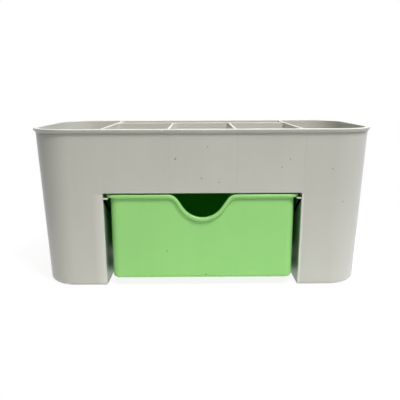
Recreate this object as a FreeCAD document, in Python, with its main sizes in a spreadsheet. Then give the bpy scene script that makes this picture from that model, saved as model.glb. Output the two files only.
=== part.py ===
import FreeCAD, Part
import math
import os
import Sketcher

# Makeup storage box: one moulded body with a drawer under its tray.
# Millimetres. X runs along the width, the front looks towards -Y, Z is up, and the foot stands on Z = 0.

SIZES = {
    # Body, outside
    "box_width": 220.0,
    "box_depth": 103.0,
    "box_height": 103.0,
    "corner_radius": 27.0,
    "wall_lean": 4.3,
    "lip_reach": 1.4,
    "lip_height": 2.6,
    "lip_flare": 1.0,
    "lip_round": 0.8,
    "foot_round": 2.5,
    # Body, inside
    "wall_thickness": 1.8,
    "floor_thickness": 1.8,
    "divider_thickness": 1.6,
    "divider_drop": 0.6,
    "cell_round": 2.0,
    "floor_round": 1.5,
    "slot_width": 20.7,
    # Tunnel that the drawer runs in
    "tunnel_width": 125.8,
    "tunnel_height": 63.3,
    "rail_reach": 3.0,
    "rail_thickness": 1.0,
    "rail_setback": 0.8,
    # Drawer
    "slide_gap": 0.1,
    "drawer_lift": 5.4,
    "drawer_height": 56.3,
    "drawer_width": 118.0,
    "drawer_front": 46.8,
    "drawer_back": 42.7,
    "drawer_corner": 5.0,
    "drawer_foot": 2.5,
    "drawer_wall": 1.8,
    "drawer_floor_round": 1.5,
    "bead_height": 2.0,
    "bead_side": 3.1,
    "bead_front": 1.5,
    "bead_round": 0.6,
    # Finger notch in the drawer's front
    "notch_depth": 15.2,
    "notch_belly": 14.7,
    "notch_shoulder": 7.5,
    "notch_slope": 56.0,
}

# Sizes that follow from the ones above, as sheet formulas
DERIVED = {
    "rim_half_x": "=box_width / 2",
    "rim_half_y": "=box_depth / 2",
    "rim_corner": "=corner_radius",
    "wall_half_x": "=rim_half_x - lip_reach",
    "wall_half_y": "=rim_half_y - lip_reach",
    "wall_corner": "=corner_radius - lip_reach",
    "foot_half_x": "=wall_half_x - wall_lean",
    "foot_half_y": "=wall_half_y - wall_lean",
    "foot_corner": "=wall_corner - wall_lean",
    "mouth_half_x": "=wall_half_x - wall_thickness",
    "mouth_half_y": "=wall_half_y - wall_thickness",
    "mouth_corner": "=wall_corner - wall_thickness",
    "cup_half_x": "=foot_half_x - wall_thickness",
    "cup_half_y": "=foot_half_y - wall_thickness",
    "cup_corner": "=foot_corner - wall_thickness",
    "lean_angle": "=atan(wall_lean / box_height) / 1 deg",
    "lip_level": "=box_height - lip_height",
    "tunnel_half": "=tunnel_width / 2",
    "cup_inner_x": "=tunnel_half + wall_thickness",
    "tray_level": "=tunnel_height + floor_thickness",
    "tray_half_y": "=mouth_half_y - wall_lean * (box_height - tray_level) / box_height",
    "middle_half": "=(tunnel_width - 2 * divider_thickness) / 6",
    "side_cell_x": "=middle_half + divider_thickness",
    "partition_back": "=mouth_half_y - slot_width",
    "partition_front": "=partition_back - divider_thickness",
    "drawer_half": "=drawer_width / 2",
    "drawer_top": "=drawer_lift + drawer_height",
    "rail_level": "=drawer_top - bead_height - slide_gap - rail_thickness",
    "rail_inner_x": "=tunnel_half - rail_reach",
    "rail_front": "=tray_half_y + wall_thickness - rail_setback",
    "bead_half_x": "=drawer_half + bead_side",
    "bead_front_y": "=drawer_front + bead_front",
    "bead_back_y": "=drawer_back + bead_side",
    "bead_corner": "=drawer_corner + bead_front",
    "bead_level": "=drawer_top - bead_height",
    "inside_half_x": "=drawer_half - drawer_wall",
    "inside_front_y": "=drawer_front - drawer_wall",
    "inside_back_y": "=drawer_back - drawer_wall",
    "inside_corner": "=drawer_corner - drawer_wall",
    "inside_depth": "=drawer_height - drawer_wall",
    "belly_height": "=drawer_top - notch_depth + notch_belly",
    "shoulder_height": "=drawer_top - notch_shoulder",
    "band_belly": "=notch_belly + bead_height",
    "band_shoulder": "=notch_shoulder - bead_height",
    "notch_lid": "=drawer_top + bead_height",
    "notch_inner_y": "=drawer_front - 2 * drawer_wall",
    "notch_reach": "=4 * drawer_wall",
}


def fill_sheet(doc):
    """The driving dimensions, one alias to a row, then the sizes worked out from them."""
    sheet = doc.addObject("Spreadsheet::Sheet", "sizes")
    rows = list(SIZES.items()) + list(DERIVED.items())
    for row, (word, value) in enumerate(rows, start=1):
        sheet.set(f"A{row}", word)
        sheet.set(f"B{row}", str(value))
        sheet.setAlias(f"B{row}", word)
    doc.recompute()
    return sheet


def origin_plane(body, role):
    """The body's own origin plane of that role."""
    return next(item for item in body.Origin.OriginFeatures if item.Role == role)


def new_sketch(body, name, role="XY_Plane", level=None):
    """An empty sketch on an origin plane, moved along the plane's normal by a word of the sheet."""
    sketch = body.newObject("Sketcher::SketchObject", name)
    sketch.AttachmentSupport = [(origin_plane(body, role), "")]
    sketch.MapMode = "FlatFace"
    if level:
        sketch.setExpression("AttachmentOffset.Base.z", f"sizes.{level}")
    return sketch


def bind(sketch, index, name, word):
    """Names a constraint and ties it to a word of the sheet."""
    sketch.renameConstraint(index, name)
    sketch.setExpression(f"Constraints.{name}", f"sizes.{word}")


def cell(sheet, word):
    """The value that the sheet holds for a word. A leading minus gives the other side of the origin."""
    return -float(sheet.get(word[1:])) if word.startswith("-") else float(sheet.get(word))


def place(sketch, sheet, line, point, word, along):
    """Holds a point at its sheet distance from the sketch's origin, on the word's side of it."""
    kind = "DistanceX" if along == "x" else "DistanceY"
    value = cell(sheet, word)
    ends = (-1, 1, line, point) if value > 0 else (line, point, -1, 1)
    index = sketch.addConstraint(Sketcher.Constraint(kind, *ends, abs(value)))
    bind(sketch, index, f"{along}{index}", word.lstrip("-"))


def panel(sheet, body, name, low_x, high_x, low_y, high_y, low_corner, high_corner, level=None):
    """A rectangle from low to high, with its own corner radius at the low X end and the high X end.

    Each size is a word of the sheet. Corners of None are square.
    """
    sketch = new_sketch(body, name, level=level)
    x0, x1, y0, y1 = (cell(sheet, text) for text in (low_x, high_x, low_y, high_y))
    r0, r1 = (cell(sheet, text) if text else 0.0 for text in (low_corner, high_corner))
    vector = FreeCAD.Vector
    sides = [
        (vector(x0 + r0, y0), vector(x1 - r1, y0)),
        (vector(x1, y0 + r1), vector(x1, y1 - r1)),
        (vector(x1 - r1, y1), vector(x0 + r0, y1)),
        (vector(x0, y1 - r0), vector(x0, y0 + r0)),
    ]
    for start, end in sides:
        sketch.addGeometry(Part.LineSegment(start, end))
    if low_corner:
        add_corners(sketch, (x0, x1, y0, y1), (r0, r1), (low_corner, high_corner))
    else:
        for side in range(4):
            sketch.addConstraint(Sketcher.Constraint("Coincident", side, 2, (side + 1) % 4, 1))
    for side, kind in enumerate(("Horizontal", "Vertical", "Horizontal", "Vertical")):
        sketch.addConstraint(Sketcher.Constraint(kind, side))
    place(sketch, sheet, 3, 1, low_x, "x")
    place(sketch, sheet, 1, 1, high_x, "x")
    place(sketch, sheet, 0, 1, low_y, "y")
    place(sketch, sheet, 2, 1, high_y, "y")
    return sketch


def add_corners(sketch, sides, radii, words):
    """Four arcs tangent to the panel's sides: radii[0] at the low X end, radii[1] at the high X end."""
    x0, x1, y0, y1 = sides
    r0, r1 = radii
    normal = FreeCAD.Vector(0, 0, 1)
    turns = [
        (x1 - r1, y0 + r1, r1, 270, 360),
        (x1 - r1, y1 - r1, r1, 0, 90),
        (x0 + r0, y1 - r0, r0, 90, 180),
        (x0 + r0, y0 + r0, r0, 180, 270),
    ]
    for x, y, radius, start, end in turns:
        circle = Part.Circle(FreeCAD.Vector(x, y, 0), normal, radius)
        sketch.addGeometry(Part.ArcOfCircle(circle, math.radians(start), math.radians(end)))
    for side in range(4):
        arc = 4 + side
        sketch.addConstraint(Sketcher.Constraint("Tangent", side, 2, arc, 1))
        sketch.addConstraint(Sketcher.Constraint("Tangent", arc, 2, (side + 1) % 4, 1))
    sketch.addConstraint(Sketcher.Constraint("Equal", 4, 5))
    sketch.addConstraint(Sketcher.Constraint("Equal", 6, 7))
    bind(sketch, sketch.addConstraint(Sketcher.Constraint("Radius", 4, r1)), "high_corner", words[1])
    bind(sketch, sketch.addConstraint(Sketcher.Constraint("Radius", 6, r0)), "low_corner", words[0])


def outline(sheet, body, name, kind, level=None):
    """A rounded rectangle centred on the origin, from the sheet's KIND_half_x, _half_y and _corner."""
    half_x, half_y, corner = (f"{kind}_{part}" for part in ("half_x", "half_y", "corner"))
    return panel(sheet, body, name, "-" + half_x, half_x, "-" + half_y, half_y, corner, corner, level)


def loft(body, name, kind, lower, upper):
    """A ruled wall between two outlines at different heights."""
    feature = body.newObject(f"PartDesign::{kind}Loft", name)
    feature.Profile = (lower, [""])
    feature.Sections = [(upper, [""])]
    feature.Ruled = True
    return feature


def pad(body, name, sketch, length):
    """A pad away from the sketch plane, as long as a word of the sheet says."""
    feature = body.newObject("PartDesign::Pad", name)
    feature.Profile = (sketch, [""])
    feature.setExpression("Length", f"sizes.{length}")
    return feature


def pocket(body, name, sketch, length, flip=False):
    """A pocket as deep as a word of the sheet says."""
    feature = body.newObject("PartDesign::Pocket", name)
    feature.Profile = (sketch, [""])
    feature.setExpression("Length", f"sizes.{length}")
    feature.Reversed = flip
    return feature


def mirror_x(body, name, features):
    """The features again on the other side of the middle plane."""
    feature = body.newObject("PartDesign::Mirrored", name)
    feature.Originals = features
    feature.MirrorPlane = (origin_plane(body, "YZ_Plane"), [""])
    body.Tip = feature
    return feature


def flat_edges(shape, level, keep=None):
    """Names of the edges that lie wholly at one height, and pass the keep test if there is one."""
    names = []
    for number, edge in enumerate(shape.Edges, start=1):
        box = edge.BoundBox
        if abs(box.ZMin - level) < 1e-4 and abs(box.ZMax - level) < 1e-4 and (not keep or keep(edge)):
            names.append(f"Edge{number}")
    return names


def round_edges(body, name, base, names, radius):
    """A fillet of the named edges of the feature before it."""
    feature = body.newObject("PartDesign::Fillet", name)
    feature.Base = (base, names)
    feature.setExpression("Radius", f"sizes.{radius}")
    return feature


def make_outside(doc, sheet, body):
    """The leaning outer wall with its rounded foot, and the lip round the rim."""
    foot = outline(sheet, body, "foot_outline", "foot")
    block = pad(body, "outer_block", foot, "box_height")
    doc.recompute()
    wall = body.newObject("PartDesign::Draft", "outer_wall")
    sides = [f"Face{number}" for number, face in enumerate(block.Shape.Faces, start=1)
             if face.BoundBox.ZLength > 1]
    base = [f"Face{number}" for number, face in enumerate(block.Shape.Faces, start=1)
            if abs(face.BoundBox.ZMax) < 1e-4]
    wall.Base = (block, sides)
    wall.NeutralPlane = (block, base)
    wall.setExpression("Angle", "sizes.lean_angle * 1 deg")
    wall.Reversed = True
    doc.recompute()
    if abs(wall.Shape.BoundBox.XMax - cell(sheet, "wall_half_x")) > 0.01:
        raise RuntimeError("the outer wall leans the wrong way")
    round_edges(body, "foot_rounding", wall, flat_edges(wall.Shape, 0.0), "foot_round")

    rim = outline(sheet, body, "lip_outline", "rim", "lip_level")
    lip = pad(body, "lip", rim, "lip_height")
    doc.recompute()
    flare = body.newObject("PartDesign::Chamfer", "lip_flare")
    half = (cell(sheet, "rim_half_x"), cell(sheet, "rim_half_y"))
    flare.Base = (lip, flat_edges(lip.Shape, cell(sheet, "lip_level"), lambda edge: outermost(edge, *half)))
    flare.setExpression("Size", "sizes.lip_flare")
    doc.recompute()
    round_edges(body, "lip_rounding", flare, flat_edges(flare.Shape, cell(sheet, "box_height")), "lip_round")
    doc.recompute()


def outermost(edge, half_x, half_y):
    """True for an edge of the lip's own outline, which is wider than the wall inside it."""
    middle = edge.valueAt((edge.FirstParameter + edge.LastParameter) / 2)
    corner = SIZES["corner_radius"]
    beyond = math.hypot(max(abs(middle.x) - (half_x - corner), 0), max(abs(middle.y) - (half_y - corner), 0))
    return abs(beyond - corner) < 0.2


def make_cups(doc, sheet, body):
    """The full-height cup at each end, open at the top."""
    small = "cell_round"
    base = panel(sheet, body, "cup_floor_outline", "cup_inner_x", "cup_half_x",
                 "-cup_half_y", "cup_half_y", small, "cup_corner", "floor_thickness")
    mouth = panel(sheet, body, "cup_mouth_outline", "cup_inner_x", "mouth_half_x",
                  "-mouth_half_y", "mouth_half_y", small, "mouth_corner", "box_height")
    cup = loft(body, "right_cup", "Subtractive", base, mouth)
    doc.recompute()
    mirror_x(body, "left_cup", [cup])
    doc.recompute()


def make_cells(doc, sheet, body):
    """The three square cells over the tray floor, and the long slot behind them."""
    small = "cell_round"
    spans = {
        "middle_cell": ("-middle_half", "middle_half"),
        "right_cell": ("side_cell_x", "tunnel_half"),
    }
    for name, (low_x, high_x) in spans.items():
        base = panel(sheet, body, name + "_floor", low_x, high_x, "-tray_half_y",
                     "partition_front", small, small, "tray_level")
        mouth = panel(sheet, body, name + "_mouth", low_x, high_x, "-mouth_half_y",
                      "partition_front", small, small, "box_height")
        feature = loft(body, name, "Subtractive", base, mouth)
        doc.recompute()
    mirror_x(body, "left_cell", [feature])
    doc.recompute()

    base = panel(sheet, body, "slot_floor", "-tunnel_half", "tunnel_half",
                 "partition_back", "tray_half_y", small, small, "tray_level")
    mouth = panel(sheet, body, "slot_mouth", "-tunnel_half", "tunnel_half",
                  "partition_back", "mouth_half_y", small, small, "box_height")
    loft(body, "rear_slot", "Subtractive", base, mouth)
    doc.recompute()


def lower_dividers(doc, sheet, body):
    """The tops of all inner walls stand a little below the rim."""
    mouth = outline(sheet, body, "divider_top_outline", "mouth", "box_height")
    pocket(body, "divider_tops", mouth, "divider_drop")
    doc.recompute()


def make_tunnel(doc, sheet, body):
    """The drawer's tunnel, open in front and below. Its back wall leans with the outer wall."""
    sketch = new_sketch(body, "tunnel_profile", "YZ_Plane")
    front, back_low, back_high, ceiling = (
        cell(sheet, word) for word in ("-rim_half_y", "cup_half_y", "tray_half_y", "tunnel_height")
    )
    corners = [(front, 0), (back_low, 0), (back_high, ceiling), (front, ceiling)]
    for number in range(4):
        start, end = corners[number], corners[(number + 1) % 4]
        sketch.addGeometry(Part.LineSegment(FreeCAD.Vector(*start), FreeCAD.Vector(*end)))
    for number in range(4):
        sketch.addConstraint(Sketcher.Constraint("Coincident", number, 2, (number + 1) % 4, 1))
    sketch.addConstraint(Sketcher.Constraint("PointOnObject", 0, 1, -1))
    sketch.addConstraint(Sketcher.Constraint("PointOnObject", 0, 2, -1))
    sketch.addConstraint(Sketcher.Constraint("Horizontal", 2))
    sketch.addConstraint(Sketcher.Constraint("Vertical", 3))
    place(sketch, sheet, 0, 1, "-rim_half_y", "x")
    place(sketch, sheet, 1, 1, "cup_half_y", "x")
    place(sketch, sheet, 2, 1, "tray_half_y", "x")
    place(sketch, sheet, 2, 2, "tunnel_height", "y")
    tunnel = pocket(body, "drawer_tunnel", sketch, "tunnel_width")
    tunnel.SideType = "Symmetric"
    doc.recompute()


def make_rails(doc, sheet, body):
    """A ledge along each side of the tunnel, which the drawer's rim hangs on."""
    sketch = panel(sheet, body, "rail_outline", "rail_inner_x", "cup_inner_x",
                   "-rail_front", "cup_half_y", None, None,
                   "rail_level")
    rail = pad(body, "right_rail", sketch, "rail_thickness")
    doc.recompute()
    mirror_x(body, "left_rail", [rail])
    doc.recompute()


def round_floors(doc, sheet, body):
    """The small radius where each cup and cell wall meets its floor."""
    tip = body.Tip
    level = cell(sheet, "tray_level")
    names = flat_edges(tip.Shape, level) + flat_edges(tip.Shape, cell(sheet, "floor_thickness"))
    round_edges(body, "floor_rounding", tip, names, "floor_round")
    doc.recompute()


def make_box(doc, sheet):
    """The one-piece moulded body."""
    body = doc.addObject("PartDesign::Body", "box_body")
    body.Label = "box_body"
    make_outside(doc, sheet, body)
    make_cups(doc, sheet, body)
    make_cells(doc, sheet, body)
    lower_dividers(doc, sheet, body)
    make_tunnel(doc, sheet, body)
    make_rails(doc, sheet, body)
    round_floors(doc, sheet, body)
    return body


def bell(sheet, body, name, belly_word, shoulder_word, lid_word, plane_word):
    """The finger notch seen from the front: a round belly, two slopes and two round shoulders.

    The words give the two radii, the height of the line that closes the shape, and the sketch's plane.
    """
    sketch = new_sketch(body, name, "XZ_Plane", plane_word)
    belly, shoulder, lid = (cell(sheet, word) for word in (belly_word, shoulder_word, lid_word))
    belly_z, shoulder_z = cell(sheet, "belly_height"), cell(sheet, "shoulder_height")
    slope = math.radians(cell(sheet, "notch_slope"))
    # The belly and shoulder centres are one slope line apart, whose length follows from their heights
    both = belly + shoulder
    run = (shoulder_z - belly_z + both * math.cos(slope)) / math.tan(slope)
    shoulder_x = both * math.sin(slope) + run
    vector = FreeCAD.Vector

    def arc(x, z, radius, start, end):
        circle = Part.Circle(vector(x, z, 0), vector(0, 0, 1), radius)
        return sketch.addGeometry(Part.ArcOfCircle(circle, start, end))

    def line(start, end):
        return sketch.addGeometry(Part.LineSegment(vector(*start), vector(*end)))

    up = math.pi / 2
    low = (belly * math.sin(slope), belly_z - belly * math.cos(slope))
    high = (shoulder_x - shoulder * math.sin(slope), shoulder_z + shoulder * math.cos(slope))
    crest = shoulder_z + shoulder
    belly_arc = arc(0, belly_z, belly, -up - slope, -up + slope)
    right_slope = line(low, high)
    right_arc = arc(shoulder_x, shoulder_z, shoulder, up, up + slope)
    right_side = line((shoulder_x, crest), (shoulder_x, lid))
    lid_line = line((shoulder_x, lid), (-shoulder_x, lid))
    left_side = line((-shoulder_x, lid), (-shoulder_x, crest))
    left_arc = arc(-shoulder_x, shoulder_z, shoulder, up - slope, up)
    left_slope = line((-high[0], high[1]), (-low[0], low[1]))
    joins = [
        ("Tangent", belly_arc, 2, right_slope, 1),
        ("Tangent", right_slope, 2, right_arc, 2),
        ("Coincident", right_arc, 1, right_side, 1),
        ("Coincident", right_side, 2, lid_line, 1),
        ("Coincident", lid_line, 2, left_side, 1),
        ("Coincident", left_side, 2, left_arc, 2),
        ("Tangent", left_arc, 1, left_slope, 1),
        ("Tangent", left_slope, 2, belly_arc, 1),
        ("Vertical", right_side),
        ("Horizontal", lid_line),
        ("Vertical", left_side),
        ("PointOnObject", belly_arc, 3, -2),
        ("Equal", right_arc, left_arc),
        ("Vertical", right_arc, 1, right_arc, 3),
        ("Vertical", left_arc, 2, left_arc, 3),
        ("Symmetric", right_arc, 3, left_arc, 3, -2),
    ]
    for kind, *places in joins:
        sketch.addConstraint(Sketcher.Constraint(kind, *places))
    bind(sketch, sketch.addConstraint(Sketcher.Constraint("Radius", belly_arc, belly)), "belly", belly_word)
    bind(sketch, sketch.addConstraint(Sketcher.Constraint("Radius", right_arc, shoulder)), "shoulder",
         shoulder_word)
    place(sketch, sheet, belly_arc, 3, "belly_height", "y")
    place(sketch, sheet, right_arc, 3, "shoulder_height", "y")
    place(sketch, sheet, lid_line, 1, lid_word, "y")
    angle = sketch.addConstraint(Sketcher.Constraint("Angle", right_slope, slope))
    sketch.renameConstraint(angle, "slope")
    sketch.setExpression("Constraints.slope", "sizes.notch_slope * 1 deg")
    return sketch


def bead_edges(sheet, shape):
    """Names of the bead's long edges, above and below its outer face, the notch's among them."""
    sides = [(1, "bead_half_x"), (-1, "bead_half_x")]
    ends = [(-1, "bead_front_y"), (1, "bead_back_y")]
    corner = cell(sheet, "bead_corner")
    outer = []
    for face in shape.Faces:
        middle = face.CenterOfMass
        flat = isinstance(face.Surface, Part.Plane)
        on_side = flat and any(abs(middle.x - sign * cell(sheet, word)) < 1e-3 for sign, word in sides)
        on_end = flat and any(abs(middle.y - sign * cell(sheet, word)) < 1e-3 for sign, word in ends)
        upright = isinstance(face.Surface, Part.Cylinder) and abs(face.Surface.Axis.z) > 0.99
        if on_side or on_end or (upright and abs(face.Surface.Radius - corner) < 1e-3):
            outer.append(face)
    names = []
    for number, edge in enumerate(shape.Edges, start=1):
        touching = sum(any(edge.isSame(other) for other in face.Edges) for face in outer)
        if touching == 1:
            names.append(f"Edge{number}")
    return names


def make_drawer(doc, sheet):
    """The drawer: a tub with a bead round its rim and a finger notch in front."""
    body = doc.addObject("PartDesign::Body", "drawer")
    body.Label = "drawer"
    tub_outline = panel(sheet, body, "tub_outline", "-drawer_half", "drawer_half", "-drawer_front",
                        "drawer_back", "drawer_corner", "drawer_corner", "drawer_lift")
    tub = pad(body, "tub", tub_outline, "drawer_height")
    doc.recompute()
    round_edges(body, "tub_foot", tub, flat_edges(tub.Shape, cell(sheet, "drawer_lift")), "drawer_foot")

    bead_outline = panel(sheet, body, "bead_outline", "-bead_half_x", "bead_half_x", "-bead_front_y",
                         "bead_back_y", "bead_corner", "bead_corner", "bead_level")
    pad(body, "rim_bead", bead_outline, "bead_height")
    band = bell(sheet, body, "notch_band", "band_belly", "band_shoulder", "drawer_top", "drawer_front")
    bead = pad(body, "notch_bead", band, "bead_front")
    doc.recompute()

    inside = panel(sheet, body, "inside_outline", "-inside_half_x", "inside_half_x", "-inside_front_y",
                   "inside_back_y", "inside_corner", "inside_corner", "drawer_top")
    hollow = pocket(body, "drawer_inside", inside, "inside_depth")
    gap = bell(sheet, body, "notch_outline", "notch_belly", "notch_shoulder", "notch_lid", "notch_inner_y")
    notch = pocket(body, "finger_notch", gap, "notch_reach", flip=True)
    doc.recompute()
    for before, after in ((bead, hollow), (hollow, notch)):
        if after.Shape.Volume >= before.Shape.Volume:
            raise RuntimeError(f"{after.Name} cut nothing")

    floor_level = cell(sheet, "drawer_lift") + cell(sheet, "drawer_wall")
    floor_edges = flat_edges(notch.Shape, floor_level)
    rounded = round_edges(body, "inside_floor_rounding", notch, floor_edges, "drawer_floor_round")
    doc.recompute()
    round_edges(body, "bead_rounding", rounded, bead_edges(sheet, rounded.Shape), "bead_round")
    doc.recompute()
    return body


def check(doc, bodies):
    """Stops if any object failed or any piece isn't one valid solid."""
    for item in doc.Objects:
        if "Invalid" in item.State or "Error" in item.State:
            raise RuntimeError(f"{item.Name} failed: {item.State}")
    for body in bodies:
        shape = body.Shape
        if shape.isNull() or not shape.isValid() or len(shape.Solids) != 1:
            raise RuntimeError(f"{body.Label} is not one valid solid")
        box = shape.BoundBox
        print(f"{body.Label}: {box.XLength:.2f} x {box.YLength:.2f} x {box.ZLength:.2f} mm, "
              f"{shape.Volume / 1000:.1f} cm3, {len(shape.Faces)} faces")


def main():
    """Builds both pieces and writes each one to its own file."""
    os.makedirs("parts", exist_ok=True)
    doc = FreeCAD.newDocument("makeup_storage_box")
    sheet = fill_sheet(doc)
    bodies = [make_box(doc, sheet), make_drawer(doc, sheet)]
    doc.recompute()
    check(doc, bodies)
    for body in bodies:
        body.Shape.exportStep(f"parts/{body.Label}.step")


main()
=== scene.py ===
"""A two-piece makeup storage box of moulded polypropylene, dressed for a plain studio picture.

The body is one moulding: a leaning outer wall with a rim lip, two tall end cups, three tray cells and a rear
slot over the tunnel of a drawer. The drawer is a tub whose rim hangs on two rails inside that tunnel.
Lengths are metres, +Z is up and the front looks towards -Y. A size written with MM is in real millimetres.
"""

from __future__ import annotations

import logging
import math
from dataclasses import dataclass
from enum import Enum
from typing import Any, Callable, Sequence

import bmesh
import bpy
from mathutils import Matrix, Vector

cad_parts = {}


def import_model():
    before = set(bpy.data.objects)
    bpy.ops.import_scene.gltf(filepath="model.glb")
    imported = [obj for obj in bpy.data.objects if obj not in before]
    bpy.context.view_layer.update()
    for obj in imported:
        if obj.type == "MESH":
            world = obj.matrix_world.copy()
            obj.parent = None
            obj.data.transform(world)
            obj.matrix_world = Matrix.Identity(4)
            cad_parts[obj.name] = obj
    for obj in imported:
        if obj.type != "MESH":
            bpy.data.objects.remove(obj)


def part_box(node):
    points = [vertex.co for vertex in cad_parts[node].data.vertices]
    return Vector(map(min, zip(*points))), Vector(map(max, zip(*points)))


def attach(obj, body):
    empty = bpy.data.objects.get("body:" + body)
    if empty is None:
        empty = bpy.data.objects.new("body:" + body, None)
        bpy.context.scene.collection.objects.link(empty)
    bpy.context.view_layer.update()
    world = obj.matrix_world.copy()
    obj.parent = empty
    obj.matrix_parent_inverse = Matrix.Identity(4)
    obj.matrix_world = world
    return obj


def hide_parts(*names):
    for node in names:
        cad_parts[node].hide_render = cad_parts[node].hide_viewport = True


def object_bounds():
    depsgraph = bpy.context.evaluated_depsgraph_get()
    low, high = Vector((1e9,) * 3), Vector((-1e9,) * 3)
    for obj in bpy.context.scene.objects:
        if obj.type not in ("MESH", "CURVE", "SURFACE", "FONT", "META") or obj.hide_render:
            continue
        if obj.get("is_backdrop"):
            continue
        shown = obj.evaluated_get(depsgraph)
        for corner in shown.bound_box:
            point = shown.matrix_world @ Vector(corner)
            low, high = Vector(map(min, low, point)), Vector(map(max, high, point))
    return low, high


MM = 0.001
PICTURE_SIDE = 400

# Segments in a corner of the walls, in a corner of a tray cell, across a rounded level, along the notch's belly
# and across a softened edge.
CORNER_STEPS = 18
CELL_STEPS = 5
ROUND_STEPS = 5
NOTCH_STEPS = 14
EDGE_STEPS = 3

# Points that lie nearer together than this are one point.
WELD = 0.002 * MM
# Outlines are bridged this far apart, because two that lie at one height can be joined crosswise.
BRIDGE_GAP = 50 * MM
# Faces that meet at less than the first angle are one face, and edges sharper than the second are softened.
FLAT_ANGLE = math.radians(0.05)
SHARP_ANGLE = math.radians(42)

# The Mix node's sockets for colours, and the range that holds nearly all of a noise texture's values.
MIX_A, MIX_B, MIX_RESULT = 6, 7, 2
NOISE_RANGE = (0.3, 0.7)

Piece = bpy.types.Object
Tree = bpy.types.NodeTree
Socket = bpy.types.NodeSocket

log = logging.getLogger("storage_box")


class Join(Enum):
    """What a tool solid does to the solid that it meets."""

    CUT = "DIFFERENCE"
    ADD = "UNION"


class Lit(Enum):
    """Kinds of ray that see the white backdrop instead of the studio's own light."""

    CAMERA = "Is Camera Ray"
    GLOSSY = "Is Glossy Ray"
    TRANSMISSION = "Is Transmission Ray"


@dataclass(frozen=True)
class Outline:
    """A rounded rectangle seen from above, with its own corner radius at its low and its high X end."""

    low_x: float
    high_x: float
    low_y: float
    high_y: float
    low_corner: float = 0.0
    high_corner: float = 0.0

    @classmethod
    def centred(cls, half_x: float, half_y: float, corner: float) -> Outline:
        """An outline round the origin with four equal corners."""
        return cls(-half_x, half_x, -half_y, half_y, corner, corner)

    def grown(self, by: float) -> Outline:
        """The outline with every side moved outwards, and its corners round the same centres."""
        return Outline(self.low_x - by, self.high_x + by, self.low_y - by, self.high_y + by,
                       self.low_corner + by, self.high_corner + by)

    def mirrored(self) -> Outline:
        """The outline on the other side of X = 0."""
        return Outline(-self.high_x, -self.low_x, self.low_y, self.high_y, self.high_corner, self.low_corner)


class Shell:
    """A closed mesh in the making, shaped with bmesh operators."""

    def __init__(self) -> None:
        """Starts with no geometry."""
        self.mesh = bmesh.new()

    @classmethod
    def stack(cls, levels: Sequence[tuple[float, Outline]], steps: int) -> Shell:
        """A closed wall through outlines that lie one above the other.

        Args:
            levels: each outline with its height, from the lowest to the highest.
            steps: segments in each rounded corner.

        Returns:
            The shell, capped at both ends.
        """
        shell = cls()
        rings, loops = [], []
        for number, (_, outline) in enumerate(levels):
            face = shell._add_face(outline, number * BRIDGE_GAP, steps)
            rings.append(list(face.verts))
            loops.append(list(face.edges))
            if 0 < number < len(levels) - 1:
                bmesh.ops.delete(shell.mesh, geom=[face], context="FACES_ONLY")
        for lower, upper in zip(loops, loops[1:]):
            bmesh.ops.bridge_loops(shell.mesh, edges=lower + upper)
        for number, (height, _) in enumerate(levels):
            bmesh.ops.translate(shell.mesh, verts=rings[number], vec=(0, 0, height - number * BRIDGE_GAP))
        shell.turn_outwards()
        return shell

    def _add_face(self, outline: Outline, height: float, steps: int) -> bmesh.types.BMFace:
        """One flat face with the outline's shape, its corners rounded by a bevel of its vertices.

        Args:
            outline: the shape.
            height: where it lies.
            steps: segments in each rounded corner.

        Returns:
            The face.
        """
        known = set(self.mesh.faces)
        corners = [
            (outline.low_x, outline.low_y), (outline.high_x, outline.low_y),
            (outline.high_x, outline.high_y), (outline.low_x, outline.high_y),
        ]
        points = [self.mesh.verts.new((x, y, height)) for x, y in corners]
        self.mesh.faces.new(points)
        ends = ((points[1:3], outline.high_corner), ([points[0], points[3]], outline.low_corner))
        for pair, radius in ends:
            if radius > 0:
                bmesh.ops.bevel(self.mesh, geom=pair, offset=radius, offset_type="OFFSET", segments=steps,
                                profile=0.5, affect="VERTICES", material=-1)
        (face,) = set(self.mesh.faces) - known
        return face

    def turn_outwards(self) -> None:
        """Turns every face to look out of the solid."""
        bmesh.ops.recalc_face_normals(self.mesh, faces=self.mesh.faces)
        if self.mesh.calc_volume(signed=True) < 0:
            bmesh.ops.reverse_faces(self.mesh, faces=self.mesh.faces)

    def round_level(self, height: float, radius: float) -> None:
        """Rounds the edges that lie wholly at one height.

        Args:
            height: the edges' height.
            radius: the radius that they get.
        """
        edges = [edge for edge in self.mesh.edges if all(abs(v.co.z - height) < WELD for v in edge.verts)]
        bmesh.ops.bevel(self.mesh, geom=edges, offset=radius, offset_type="OFFSET",
                        segments=ROUND_STEPS, profile=0.5, affect="EDGES", material=-1, clamp_overlap=True)

    def finish(self, name: str) -> Piece:
        """Turns the shell into an object whose faces point outwards.

        Args:
            name: the object's name, and its mesh's.

        Returns:
            The object, linked to the scene at the origin.
        """
        bmesh.ops.remove_doubles(self.mesh, verts=self.mesh.verts, dist=WELD)
        self.turn_outwards()
        data = bpy.data.meshes.new(name)
        self.mesh.to_mesh(data)
        self.mesh.free()
        piece = bpy.data.objects.new(name, data)
        bpy.context.scene.collection.objects.link(piece)
        return piece


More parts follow.
